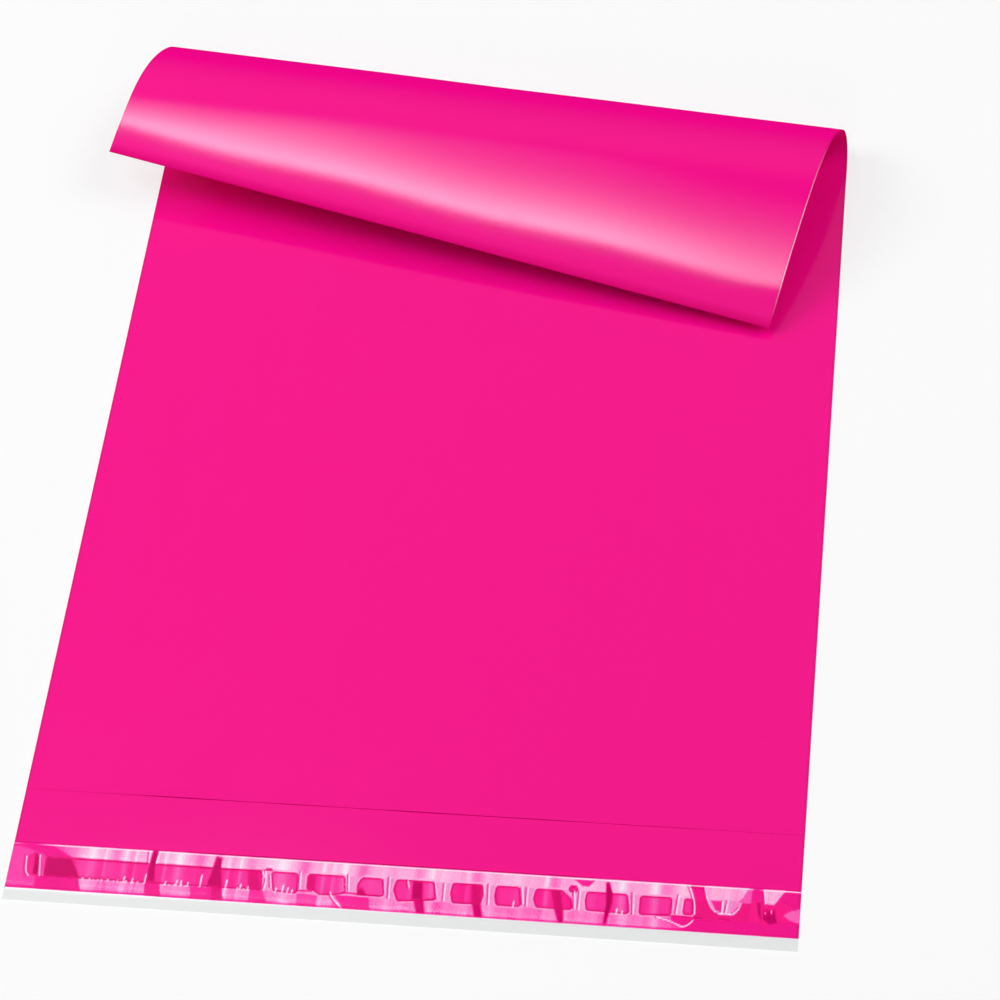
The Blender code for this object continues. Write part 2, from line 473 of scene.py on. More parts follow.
def front_height(x, y):
    """How high the front panel's outer face is over the bag's underside, on the flat bag."""
    from_weld = soft_step(0.0, HELD_DOWN, HALF_WIDTH - np.abs(x))
    from_end = soft_step(0.0, HELD_DOWN, POCKET_LENGTH - y)
    waves_here = PANEL_RIPPLE * (0.5 + 0.5 * ripple(x, y)) * soft_step(0.0, RIPPLE_FROM_MOUTH, y)
    loose = AIR + waves_here + mouth_height(x, y)
    return 2 * FILM_THICKNESS + AIR_AT_WELD + loose * from_weld * from_end


# %% [markdown]
# ### From a flat grid to the rolled bag
# The bmesh operators first give a box of flat plates, one unit wide, with the right faces in the
# right order. Then each of its points moves to its place in the film, and the place that it has on
# the flat film becomes its UV. A Solidify modifier gives the film its thickness at the end.

# %% The folded film
AT_MOUTH = -0.49999
SHARP_EDGE = math.radians(40)


def flat_box(columns, rows, up):
    """A grid of faces, extruded by up into a box. It is one unit long and wide."""
    bm = bmesh.new()
    bmesh.ops.create_grid(bm, x_segments=columns, y_segments=rows, size=0.5)
    moved = bmesh.ops.extrude_face_region(bm, geom=bm.faces[:])["geom"]
    moved = [item for item in moved if isinstance(item, bmesh.types.BMVert)]
    bmesh.ops.translate(bm, vec=(0, 0, up), verts=moved)
    bmesh.ops.recalc_face_normals(bm, faces=bm.faces)
    return bm


def finished(bm, name, material):
    """Turns a bmesh into a smooth object in the scene."""
    for face in bm.faces:
        face.smooth = True
    mesh = bpy.data.meshes.new(name)
    bm.to_mesh(mesh)
    bm.free()
    piece = bpy.data.objects.new(name, mesh)
    bpy.context.scene.collection.objects.link(piece)
    mesh.materials.append(material)
    return piece


def film_plates():
    """The bag as flat plates: Z is 0 at the back and 1 at the front, and Y is least at the mouth."""
    bm = flat_box(COLUMNS, POCKET_ROWS, 1)
    mouth_wall = [f for f in bm.faces if all(v.co.y < AT_MOUTH for v in f.verts)]
    bmesh.ops.delete(bm, geom=mouth_wall, context="FACES_ONLY")
    rim = [e for e in bm.edges if e.is_boundary and all(v.co.y < AT_MOUTH for v in e.verts)]
    edge = [e for e in rim if all(v.co.z < 0.5 for v in e.verts)]
    for _ in range(FLAP_ROWS):
        grown = bmesh.ops.extrude_edge_only(bm, edges=edge)["geom"]
        edge = [item for item in grown if isinstance(item, bmesh.types.BMEdge)]
        ends = [item for item in grown if isinstance(item, bmesh.types.BMVert)]
        bmesh.ops.translate(bm, vec=(0, -1 / POCKET_ROWS, 0), verts=ends)
    return bm


def flat_places(bm):
    """Where the points of the plates are on the flat bag, and which are on the front panel."""
    grid = np.array([vert.co for vert in bm.verts])
    row = np.round((grid[:, 1] + 0.5) * POCKET_ROWS).astype(int)
    x = column_places(grid[:, 0] + 0.5)
    left, right = row_edges()[np.clip(row, 0, None)].T
    in_pocket = left + (right - left) * (0.5 + x / (2 * HALF_WIDTH))
    return x, np.where(row < 0, FLAP_EDGE * -row / FLAP_ROWS, in_pocket), grid[:, 2] > 0.5


def shape_film(bm):
    """Moves the plates into the shape of the rolled bag, and gives them their UV map."""
    x, y, is_front = flat_places(bm)
    past_start = x * ROLL_WAY.x + (y - ROLL_START.y) * ROLL_WAY.y
    height = np.where(is_front, front_height(x, y), 0.0)
    height = height + ROLL_RIPPLE * soft_step(*ROLL_RIPPLE_FROM, past_start) * ripple(x, y)
    places = np.column_stack(film_place(x, y, height))
    flat_map = bm.loops.layers.uv.new("flat")
    bm.verts.index_update()
    for vert in bm.verts:
        vert.co = places[vert.index]
    for edge in bm.edges:
        edge.smooth = not edge.is_boundary and edge.calc_face_angle(0.0) < SHARP_EDGE
    for face in bm.faces:
        for loop in face.loops:
            loop[flat_map].uv = (x[loop.vert.index], y[loop.vert.index])


plates = film_plates()
shape_film(plates)
film = finished(plates, "film", film_material)
wall = film.modifiers.new("wall", "SOLIDIFY")
wall.thickness = FILM_THICKNESS
wall.offset = -1.0
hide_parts("bag_film")
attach(film, "root")
print("film:", len(film.data.vertices), "vertices before it gets its thickness")

# %% [markdown]
# ## The release liner
# The liner is a clear film that lets go of the adhesive. Where it touches the adhesive, the pink
# below looks deep. Where air has got under it, both faces of the film mirror some light, and the
# strip is painted pale for it: a painted reflection. On the left it touches along one long stretch
# with a nibbled edge. Further right it touches in rounded cells, parted by narrow air tunnels.
#
# No two cells are alike, so each has its own few corners. They are in millimetres, from the bag's
# left edge and from the flap's free edge. A cell reaches 1.1 mm past its corners, all round. The
# number before the corners is the cell's tone, which is explained further down.

# %% Where the liner touches
MM = 0.001
LINER_TOP = 18.0
LINER_LIP = 4.8
CELL_ROUNDING = 1.1

CELLS = [
    (0.11, [(14, 11.4), (90.2, 11.1), (91, 6.1), (14.3, 6.1)]),
    (0.14, [(96.1, 11.1), (103.3, 11.1), (103.8, 5.7), (97.2, 6)]),
    (
        0.14,
        [(109.1, 11.1), (120.1, 11.1), (120.8, 6.6), (117.4, 5.9), (113.2, 5.8), (110.8, 7.3), (109.3, 7.3)],
    ),
    (0.21, [(128, 11), (133.7, 11), (134.4, 6.6), (127.3, 6.6), (127.1, 9.3)]),
    (0.15, [(140.5, 11.1), (151.8, 11.1), (152.8, 6.4), (141.3, 5.3), (140, 8.5)]),
    (0.08, [(160.4, 11.2), (168.9, 11.2), (169.3, 8.5), (168.8, 6.1), (160.8, 5.9), (160.1, 8.5)]),
    (0.09, [(175.8, 11.1), (181.8, 11.2), (182.7, 6.1), (176.2, 6.1), (175.6, 8.5)]),
    (0.09, [(189.6, 11), (197.3, 11), (200, 8.6), (200.6, 6.2), (190, 6.3), (189.2, 8.5)]),
    (0.10, [(201.2, 12.9), (202, 12.8)]),
    (0.13, [(207.4, 11.1), (219.4, 11.1), (220.3, 6.1), (207.6, 6.4), (207.1, 9)]),
    (0.13, [(226.1, 10.9), (234.8, 10.9), (234.8, 6.5), (226.1, 6.1)]),
    (0.10, [(241.3, 10.9), (241.9, 10.8), (242.3, 7.1), (241.1, 7.1)]),
]


def segment_distance(x, y, start, end):
    """Distance from a straight line between two points."""
    span_x, span_y = end[0] - start[0], end[1] - start[1]
    share = ((x - start[0]) * span_x + (y - start[1]) * span_y) / (span_x**2 + span_y**2)
    share = np.clip(share, 0.0, 1.0)
    return np.hypot(x - start[0] - share * span_x, y - start[1] - share * span_y)


def path_distance(x, y, points):
    """Distance from a line through some points."""
    return np.min([segment_distance(x, y, *ends) for ends in zip(points, points[1:])], axis=0)


def outline_distance(x, y, corners):
    """Distance from the outline of a polygon, negative inside it."""
    inside = np.zeros(x.shape, dtype=bool)
    closed = corners + corners[:1]
    for (start_x, start_y), (end_x, end_y) in zip(closed, closed[1:]):
        crossing = start_x + (y - start_y) * (end_x - start_x) / ((end_y - start_y) or 1.0)
        inside ^= ((start_y > y) != (end_y > y)) & (x < crossing)
    away = path_distance(x, y, closed)
    return np.where(inside, -away, away)


def rounded(points):
    """The same line with its corners cut twice, which makes a curve of it."""
    for _ in range(2):
        inner = []
        for (start_x, start_y), (end_x, end_y) in zip(points, points[1:]):
            inner.append((0.75 * start_x + 0.25 * end_x, 0.75 * start_y + 0.25 * end_y))
            inner.append((0.25 * start_x + 0.75 * end_x, 0.25 * start_y + 0.75 * end_y))
        points = [points[0], *inner, points[-1]]
    return points


def touch_distance(x, y):
    """Distance in mm from the nearest place where the liner touches, negative where it does."""
    return np.min([outline_distance(x, y, corners) for _, corners in CELLS], axis=0) - CELL_ROUNDING


print("liner:", len(CELLS), "places where it touches the adhesive")

# %% [markdown]
# ### Folds, patches and bright lines
# Other marks break the row of cells. In some places the liner is creased across, and is painted dark
# from one edge to the other: painted shade in the crease. In patches it lies flat on the flap, which
# gives the plain pink again; some patches are a little lighter, with a painted reflection, and two
# are darker, with painted shade. Where its steepest places and the short air fingers that grow into
# the cells from below would mirror the lamps, thin white lines are painted: painted highlights.
# Glints and dull waves are painted reflections, where the bands of air are painted brighter or
# duller. They, the fingers and the gaps are each a place along the liner and a width or a height.

# %% Marks on the liner
# A patch's tone above zero is a faint painted reflection, below zero painted shade
PLAIN_PATCHES = [
    (0.19, [(-2, 18), (13, 18), (13, -1), (-2, -1)]),
    (0.03, [(-2, 19), (-2, 16.2), (3, 16), (8, 14.8), (13, 12.6), (23, 12.4), (16, 16.2), (13, 19)]),
    (0.03, [(6.2, 12.2), (8.4, 13.6), (11.4, 12), (12.4, 5), (7, 5)]),
    (0, [(10.6, 5), (26, 5), (28, -1), (10.6, -1)]),
    (0, [(50.2, 5), (55.5, 5), (56.8, 0), (50.8, 0)]),
    (0.08, [(66.8, 4.6), (77, 4.6), (79.3, 0), (67.4, 0)]),
    (0.10, [(88.2, 4.9), (92.4, 4.9), (95, 0), (88, 0)]),
    (0.20, [(105, 4.4), (112.4, 4.2), (112.2, 0), (105.3, 0)]),
    (0.07, [(118.3, 4.8), (130.5, 4.6), (131.4, 0.2), (121.7, 0.2)]),
    (0.05, [(201.6, 16.6), (208.8, 16.6), (206.9, 14.2), (204.6, 14.2)]),
    (0.02, [(236.2, 5), (243.4, 5), (242, 2.3), (240, 1.3), (236.4, 3)]),
    (0, [(240, 1.2), (243.5, 4.8), (252, 5), (265, 4.8), (265, 0), (240.6, 0)]),
    (0, [(241.8, 18), (246.9, 18), (248.3, 12), (250.4, 8), (252.5, 4.8), (243.9, 4.8), (243, 13.2)]),
    (-0.10, [(244, 12), (248.3, 12), (250.4, 8), (252.6, 6.9), (264, 6.9), (265, 4.8), (244, 4.8)]),
    (-0.10, [(257.2, 6.4), (259.4, 9.4), (260.2, 11.6), (265, 11.6), (265, 6.4)]),
    (0.28, [(259, 12.2), (260.4, 14), (262.2, 18), (263.6, 18), (263.6, 11.6), (259.6, 11.6)]),
    (0, [(263.2, 18), (267.2, 18), (268.2, 11.8), (271, 11.6), (275, 18), (282, 18), (282, -1), (263, -1)]),
    (0.32, [(274.2, 8.1), (277, 10), (282, 11.4), (282, 4.6), (276.2, 6.4)]),
    (0.08, [(249.4, 11.8), (252.6, 11.8), (252.7, 8), (251.2, 8.2)]),
]

# Creases, painted dark as painted shade; the liner also lies flat in them
SHADED_FOLDS = [
    (-0.60, [(8.6, 13.9), (10.3, 12.4), (11, 5.3), (9.2, 5.4)]),
    (-0.50, [(13.2, 12.3), (22.4, 12.3), (26.4, 5.2), (13.4, 5.2)]),
    (-0.55, [(51.1, 18), (52.9, 18), (52.8, 12), (53.6, 5.5), (50.3, 5.5), (50.7, 12)]),
    (-0.50, [(74.2, 16.8), (76.3, 16.4), (76.6, 12), (78, 5.2), (72.4, 5.2), (73.6, 12)]),
    (-0.20, [(74, 5.2), (78, 5.2), (79, 0.2), (74.8, 0.2)]),
    (-0.25, [(86.2, 12), (90.2, 12), (91.8, 5), (87.4, 5)]),
    (-0.25, [(108.2, 12), (110.8, 12), (111.2, 6.4), (108.2, 6.2)]),
    (-0.45, [(126.2, 7.6), (127.8, 8), (129.4, 5.8), (126.3, 5.4)]),
    (-0.58, [(145.3, 12), (148.6, 12), (149.4, 5.2), (145.6, 5.2)]),
    (-0.35, [(146.2, 5.2), (149.8, 5.2), (150.7, 0.2), (147.8, 0.2)]),
    (-0.35, [(165.8, 12), (169.4, 12), (170, 5.2), (166.6, 5.2)]),
    (-0.40, [(166.8, 5.2), (169.8, 5.2), (171, 0.2), (168.2, 0.2)]),
    (-0.40, [(193.8, 12), (197.2, 12), (198.7, 5), (199.2, 0.2), (197.4, 0.2), (195.6, 5)]),
    (
        -0.68,
        [(212.7, 16.4), (213.8, 16.4), (215.3, 12), (215.3, 8), (214.4, 4), (213.9, 0.8), (213, 0.8)]
        + [(213.3, 8)],
    ),
    (-0.50, [(92, 12.5), (93, 13.3), (94.6, 13.3), (95.3, 12.4)]),
    (-0.55, [(264.9, 12.3), (266.3, 12.3), (267, 5.2), (265.6, 8.2)]),
    (-0.60, [(267.2, 9.8), (271.4, 9.8), (272.4, 5), (269.6, 4.4), (267.4, 6.2)]),
]

# Painted highlights, where the liner's steepest places would mirror the lamps
BRIGHT_LINES = [
    [(5.8, 12.2), (6.1, 9), (6.6, 6), (7.8, 4.8)], [(10.6, 12.9), (11, 10), (11.8, 5)],
    [(50, 17), (50.4, 12.6)], [(53.6, 17), (53.1, 12.6)], [(91.8, 12), (92.5, 9.6)],
    [(92.7, 12.2), (93.4, 8.2), (93, 5)], [(94.6, 10.8), (95.5, 6.2)], [(105.3, 12.6), (105.9, 6.4)],
    [(122.5, 12.8), (123.2, 6.6)], [(137, 12.8), (137.6, 5)], [(143.5, 12), (144.2, 9.4)],
    [(156.7, 11.6), (156.9, 5.2)], [(172.2, 12.6), (172.7, 5)], [(183.7, 12.2), (184.7, 6)],
    [(185.7, 12.2), (186, 5.4)], [(202, 12), (202.7, 5.6)], [(204, 12), (204.1, 5.2)],
    [(222.5, 12.8), (223, 5)], [(238.3, 13), (237.8, 6.2)],
    [(241.6, 16.6), (243, 13.2), (243.9, 10), (244, 6.4)],
    [(246.9, 16.8), (248, 12), (250, 8.2), (252.6, 6.9), (257, 7), (259.2, 9.6)],
    [(253.4, 11.6), (253.3, 7.2)], [(255.2, 12), (254.7, 7.6)],
    [(116.6, 5.8), (117.4, 3.9), (121.1, 0.2)],
    [(231.2, 4.3), (236, 3.1), (240, 1.2), (242.2, 2.2), (243.6, 3.9)], [(267.3, 16.8), (268, 12)],
    [(267.9, 8.8), (268.3, 8.2)], [(270.1, 9.6), (270.3, 8.6)],
]

# Lines of painted shade
DARK_LINES = [
    [(24, 12.3), (50, 12.2)], [(54.5, 12.2), (73, 12)], [(77, 12), (91, 12.3)],
    [(104, 5.6), (110, 5.6)], [(120.8, 5.9), (134.4, 5.6)], [(150.8, 5.4), (154, 5.7)],
    [(231, 5.2), (246.6, 5.1)], [(252.6, 5.2), (256, 5)], [(242, 16.6), (246.4, 16.5)],
]
TOP_LINE_GAPS = [(6, 6), (51.9, 1.2), (75.2, 1.6), (264.9, 1.8)]

# The air fingers are drawn only as painted highlights
AIR_FINGERS = [(42.5, 1.8), (45.5, 1.2), (50.1, 3.4), (57.5, 1), (61.5, 1.7), (63.1, 1.6), (65.6, 1.2)]
AIR_FINGERS += [(70.1, 4.2), (79.3, 3), (84.5, 1.7), (87.2, 1.1), (97.2, 1.2), (99.6, 2.6)]
AIR_FINGERS += [(101.4, 1.7), (103, 1), (181.2, 2), (217.1, 1.7), (219, 1)]

# Painted glints on the bands of air
GLINTS = [(29.5, 2), (34.6, 0.5), (42, 1), (45.6, 0.5), (56.4, 0.6), (61, 1.5), (79.2, 0.8)]
GLINTS += [(83.7, 0.6), (99, 4.2), (113.4, 0.7), (117, 0.7), (121, 1), (152, 1.1)]
GLINTS += [(164.6, 0.9), (192.2, 0.8), (218.5, 1.6), (230.2, 1.4)]

# Painted duller reflection on the bands of air
DULL_WAVES = [(38, 2), (68.5, 2.4), (87.5, 1.8), (106.8, 2.8), (127.2, 2.8), (146.8, 2)]
DULL_WAVES += [(167.6, 2), (194.8, 2), (234, 2.2)]
DULL_BOTTOM = [(236, 7)]

print("liner:", len(SHADED_FOLDS), "folds and", len(BRIGHT_LINES) + len(AIR_FINGERS), "bright lines")

# %% [markdown]
# ### The nibbled edge
# The edge of the long stretch is nibbled by small bumps of air, a little under 2 mm apart. They are
# a cosine, which a high power makes narrow, with its pitch and its height made uneven by sines.

# %% Bumps of air
NIBBLED = [(24.5, 49.0), (56.0, 66.0), (71.5, 73.0), (82.0, 90.0)]
NIBBLE_PITCH = 1.75
NIBBLE_HEIGHT = 1.1


def nibbled_height(x):
    """How far the bumps of air reach up into the long stretch."""
    reach = np.zeros(x.shape)
    for start, end in NIBBLED:
        reach = np.maximum(reach, soft_step(start, start + 1, x) * (1 - soft_step(end - 1, end, x)))
    bump = np.abs(np.cos(math.pi * x / NIBBLE_PITCH + 0.8 * np.sin(x / 1.3))) ** 4
    return NIBBLE_HEIGHT * reach * bump * (0.65 + 0.35 * np.sin(1.9 * x))


# %% [markdown]
# ### One number for the liner's look
# All of this is painted, layer over layer, into one number on each point of the liner, its tone.
# Above zero the liner is pale and hides some of the pink: painted reflection. Below zero it is
# dark: painted shade. At zero it can't be seen at all. Each layer is a value and a share: a share of
# 1 covers what is below it. First come a few helpers: slight waves of the film, the painted sheen of
# its crinkles, and a soft stroke for lines.

# %% Helpers for the tone
def waves(x):
    """Slight waves across the liner, between -1 and 1: they shape it and streak its painted reflection."""
    return (np.sin(x / 1.9 + 0.4) + 0.7 * np.sin(x / 0.83 + 2.0) + 0.9 * np.sin(x / 4.7 + 1.1)) / 2.6


def crinkle_sheen(x, y):
    """Fine slanted streaks of painted sheen on slightly crinkled film, between -1 and 1."""
    slanted = np.sin(2.6 * x + 1.1 * y + 1.6 * np.sin(0.9 * x)) * np.sin(0.7 * x - 1.7 * y)
    return 0.6 * slanted + 0.4 * np.sin(5.3 * x - 0.9 * y + 2.0 * np.sin(1.3 * y))


def stroke(distance, half):
    """1 on a line and softly 0 away from it."""
    return np.exp(-((distance / half) ** 2))


def near(x, places):
    """1 at any of some places along the liner, each with its half width, and 0 away from them."""
    return np.max([stroke(x - middle, half) for middle, half in places], axis=0)


def lay(tone, value, share):
    """Lays a value over the tone, with a share of 1 where it covers it fully."""
    return tone * (1 - share) + value * share


# %% [markdown]
# ### Air and cells
# The lowest layer is the trapped air, whose paleness is a painted reflection: a pale band above the
# cells, a duller one below them, and the tunnels between them. The upper band fades in from the
# left, where the liner lies flat. Over them lie the cells with a thin dark outline of painted shade.
# Right of the long stretch they also have a pale halo, a painted highlight where the film climbs.

# %% Tone of the air and of the cells
# Tones of the painted reflection of trapped air and of its halo, and of painted shade
BAND_TONE = 0.65
BAND_FROM = (11.9, 12.5)
BAND_FADES_IN = (13.0, 31.0)
BAND_END_TONE = 0.20
TUNNEL_TONE = 0.52
BOTTOM_TONE = 0.42
BOTTOM_TO = (4.4, 5.0)
HALO_TONE = 0.62
HALO_PLACE = 0.6
HALO_HALF = 0.25
HALO_FROM = (93.0, 95.0)
CELL_EDGE = 0.15
PAINTED_DARK_TONE = -0.70
OUTLINE_PLACE = -0.1
OUTLINE_HALF = 0.22


def tone_of_air(x, y):
    # Painted reflection of the trapped air, with painted glints and duller waves
    glints, dull = near(x, GLINTS), near(x, DULL_WAVES)
    band = BAND_TONE + 0.10 * waves(x) + 0.20 * glints - 0.24 * dull
    band = lay(BAND_END_TONE, band, soft_step(*BAND_FADES_IN, x))
    bottom = BOTTOM_TONE + 0.14 * waves(x + 9) + 0.14 * glints - 0.16 * near(x, DULL_BOTTOM)
    tone = lay(TUNNEL_TONE + 0.08 * waves(x), band, soft_step(*BAND_FROM, y))
    return lay(tone, bottom, 1 - soft_step(*BOTTOM_TO, y)) + 0.06 * crinkle_sheen(x, y)


def lay_cells(tone, x, y):
    away = touch_distance(x, y)
    # A painted highlight halo, painted streaks and glints in the cells, and a painted shade outline
    tone = lay(tone, HALO_TONE, stroke(away - HALO_PLACE, HALO_HALF) * soft_step(*HALO_FROM, x))
    streaks = 0.08 * waves(x) + 0.15 * near(x, GLINTS)
    for value, corners in CELLS:
        edge = outline_distance(x, y, corners) - CELL_ROUNDING
        tone = lay(tone, value + streaks, 1 - soft_step(-CELL_EDGE, CELL_EDGE, edge))
    return lay(tone, PAINTED_DARK_TONE, 0.8 * stroke(away - OUTLINE_PLACE, OUTLINE_HALF))


# %% [markdown]
# ### Bumps, patches, folds and lines
# The bumps of air cover the lower edge of the long stretch with their pale painted reflection, and
# have a thin line of painted shade over them. The patches and the folds come next. The dark lines
# are painted shade, and each bright line, a painted highlight, has a painted dark reflection just
# left of it, because the film that mirrors a lamp on one side of a ridge mirrors the dark side of
# the room on the other.

# %% Tone of the marks
BUMPS_BASE = 4.7
BUMPS_TONE = 0.66
BUMPS_EDGE = (-0.15, 0.10)
BUMPS_START = (3.6, 4.6)
BUMPS_LINE = 0.25
PATCH_EDGE = (-0.25, 0.25)
FOLD_EDGE = (-0.5, 0.4)
DARK_HALF = 0.26
BESIDE_LINE = 0.5
BESIDE_HALF = 0.3
PAINTED_HIGHLIGHT_TONE = 1.0
BRIGHT_HALF = 0.28
FINGER_BASE = (4.6, 4.8)
FINGER_LEAN = 0.15


def lay_bumps(tone, x, y):
    height = nibbled_height(x)
    above = y - BUMPS_BASE - height
    share = np.minimum(1.0, 5 * height)
    # A line of painted shade over the bumps, and their pale painted reflection
    tone = lay(tone, PAINTED_DARK_TONE, 0.7 * share * stroke(above - BUMPS_LINE, BUMPS_LINE))
    return lay(tone, BUMPS_TONE, share * (1 - soft_step(*BUMPS_EDGE, above)) * soft_step(*BUMPS_START, y))


def lay_areas(tone, x, y):
    # The patches with their painted tones, then the folds' painted shade
    for value, corners in PLAIN_PATCHES:
        inside = 1 - soft_step(*PATCH_EDGE, outline_distance(x, y, corners))
        tone = lay(tone, value + 0.02 * waves(x), inside)
    for value, corners in SHADED_FOLDS:
        tone = lay(tone, value, 1 - soft_step(*FOLD_EDGE, outline_distance(x, y, corners)))
    return tone


def lay_lines(tone, x, y):
    curves = [rounded(line) for line in BRIGHT_LINES]
    low, high = FINGER_BASE
    fingers = [[(place, low), (place + FINGER_LEAN, high + tall)] for place, tall in AIR_FINGERS]
    # Painted shade lines, painted dark reflections beside the bright lines, then the painted highlights
    for line in DARK_LINES:
        tone = lay(tone, PAINTED_DARK_TONE, 0.6 * stroke(path_distance(x, y, line), DARK_HALF))
    for line in curves:
        beside = path_distance(x + BESIDE_LINE, y, line)
        tone = lay(tone, PAINTED_DARK_TONE, 0.5 * stroke(beside, BESIDE_HALF))
    for line in curves + fingers:
        tone = lay(tone, PAINTED_HIGHLIGHT_TONE, stroke(path_distance(x, y, line), BRIGHT_HALF))
    return tone


# %% [markdown]
# ### The liner's borders
# The top edge of the liner is a bright line, a painted highlight, under a thin dark rim of painted
# shadow, which is darkest where air lifts it. At the bottom the flap ends under the liner: its cut
# edge shows through as a dark line of painted shade and a bright line of painted highlight. Past it
# is the lip, which is pale all over.

# %% Tone of the borders
TOP_LINE_DROP = 0.85
TOP_LINE_HALF = 0.25
RIM_EDGE = (-0.6, -0.4)
RIM_DARKENS = (60.0, 75.0)
RIM_LIGHTENS = (200.0, 215.0)
FLAP_LINES = [(PAINTED_DARK_TONE, 0.9, 0.35, 0.2), (PAINTED_HIGHLIGHT_TONE, 1.0, -0.1, 0.22)]
LIP_TONE = 0.86
LIP_EDGE = (-0.6, -0.1)


def lay_borders(tone, x, y):
    below_top = y - LINER_TOP
    # The painted highlight along the top edge, and the painted shadow of its rim
    top_line = stroke(below_top + TOP_LINE_DROP, TOP_LINE_HALF)
    tone = lay(tone, PAINTED_HIGHLIGHT_TONE, top_line * (1 - near(x, TOP_LINE_GAPS)))
    lifted = soft_step(*RIM_DARKENS, x) * (1 - soft_step(*RIM_LIGHTENS, x))
    tone = lay(tone, PAINTED_DARK_TONE * (0.3 + 0.6 * lifted), soft_step(*RIM_EDGE, below_top))
    # The flap's cut edge: a line of painted shade and a painted highlight
    for value, share, place, half in FLAP_LINES:
        tone = lay(tone, value, share * stroke(y - place, half))
    return lay(tone, LIP_TONE, 1 - soft_step(*LIP_EDGE, y))


def liner_tone(x, y):
    """The tone of the liner, its painted reflection and shade, at places in mm from the bag's left edge and
    from the flap's edge.
    """
    tone = lay_cells(tone_of_air(x, y), x, y)
    tone = lay_areas(lay_bumps(tone, x, y), x, y)
    return lay_borders(lay_lines(tone, x, y), x, y)


# %% [markdown]
# ### The liner's surface
# The same distances shape the film. It lies on the adhesive in the cells, stands up by a third of
# a millimetre over the trapped air, lies flat again in the folds, and its lip droops past the
# flap's edge. The grid is finer where the cells begin and end, and along the top. Extruding it gives
# the film its two faces. The rows are written as the place where a stretch starts and its number of
# rows.

# %% Liner mesh
LINER_COLUMNS = 880
LINER_ROWS = [(-LINER_LIP, 6), (-0.6, 3), (0.6, 8), (4.0, 8), (6.4, 7), (11.2, 6), (13.2, 5), (16.4, 6)]
LINER_THICKNESS = 0.00005
TOUCH_HEIGHT = 0.00050
TOP_HEIGHT = 0.00024
LIP_HEIGHT = 0.00011
AIR_HEIGHT = 0.00033
SLIGHT_WAVE = 0.00006
AIR_SLOPE = (-0.1, 0.9)
AIR_STARTS = (10.0, 26.0)
AIR_ENDS = (262.0, 272.0)
FOLD_SLOPE = (-0.3, 1.2)
TOP_SLOPE = (14.5, LINER_TOP)
LIP_SLOPE = (-0.8, 2.6)


def liner_rows():
    """The rows of the liner's grid, in mm from the flap's edge."""
    rows = []
    for (start, count), (end, _) in zip(LINER_ROWS, [*LINER_ROWS[1:], (LINER_TOP, 0)]):
        rows.extend(np.linspace(start, end, count, endpoint=False))
    return np.array(rows + [LINER_TOP])


def liner_height(x, y):
    """Height of the liner's upper face over the bag's underside."""
    air = soft_step(*AIR_SLOPE, touch_distance(x, y)) * soft_step(*AIR_STARTS, x)
    air = air * (1 - soft_step(*AIR_ENDS, x))
    for _, corners in SHADED_FOLDS:
        air = air * soft_step(*FOLD_SLOPE, outline_distance(x, y, corners))
    height = TOUCH_HEIGHT + LINER_THICKNESS + AIR_HEIGHT * air * (0.75 + 0.25 * waves(x))
    height = height + SLIGHT_WAVE * waves(x + 3)
    height = lay(height, TOP_HEIGHT + LINER_THICKNESS, soft_step(*TOP_SLOPE, y))
    return lay(height, LIP_HEIGHT + LINER_THICKNESS, 1 - soft_step(*LIP_SLOPE, y))


def liner_bmesh():
    rows = liner_rows()
    bm = flat_box(LINER_COLUMNS, len(rows) - 1, -1)
    grid = np.array([vert.co for vert in bm.verts])
    x = 2 * HALF_WIDTH * (grid[:, 0] + 0.5) / MM
    y = rows[np.round((grid[:, 1] + 0.5) * (len(rows) - 1)).astype(int)]
    is_upper = grid[:, 2] > -0.5
    tone = np.where(is_upper, liner_tone(x, y), 0.0)
    height = liner_height(x, y) - np.where(is_upper, 0.0, LINER_THICKNESS)
    places = np.column_stack((x * MM - HALF_WIDTH, FLAP_EDGE + y * MM, height))
    tone_layer = bm.verts.layers.float.new("tone")
    bm.verts.index_update()
    for vert in bm.verts:
        vert[tone_layer] = tone[vert.index]
        vert.co = places[vert.index]
    for edge in bm.edges:
        edge.smooth = edge.calc_face_angle(0.0) < math.radians(60)
    return bm


# %% [markdown]
# ### Clear liner film
# The liner is cast polypropylene with a silicone coat: clear, very smooth and glossy. The material
# reads the tone. Its size sets how much the film hides, and its sign picks between a pale colour,
# which is painted reflection, and a deep pink, which is painted shade. The reflection of a thin veil
# of air is painted violet over the pink, and that of a thick one almost white, so the pale colour is
# a mix of the two by the tone. Creased places are turned to the dark side of the room, so they
# mirror less. Past the flap's edge there is no pink below, and the film is a cool pale grey.

# %% Liner colours
# Colours of the painted reflection and of the painted shade, and the grey past the flap
LINER_REFLECTION_WHITE = "F9EAF8"
LINER_REFLECTION_VIOLET = "FB46F6"
LINER_SHADE_PINK = "A8004E"
LINER_GREY = "E7E9E7"
ALMOST_WHITE_TONE = 0.9
FULL_COVER_TONE = 1.12
FULL_COVER = 0.97
CREASED_TONE, SMOOTH_TONE = -0.25, 0.1
SIGN_FADE = 0.04
GREY_FADE = 0.0003


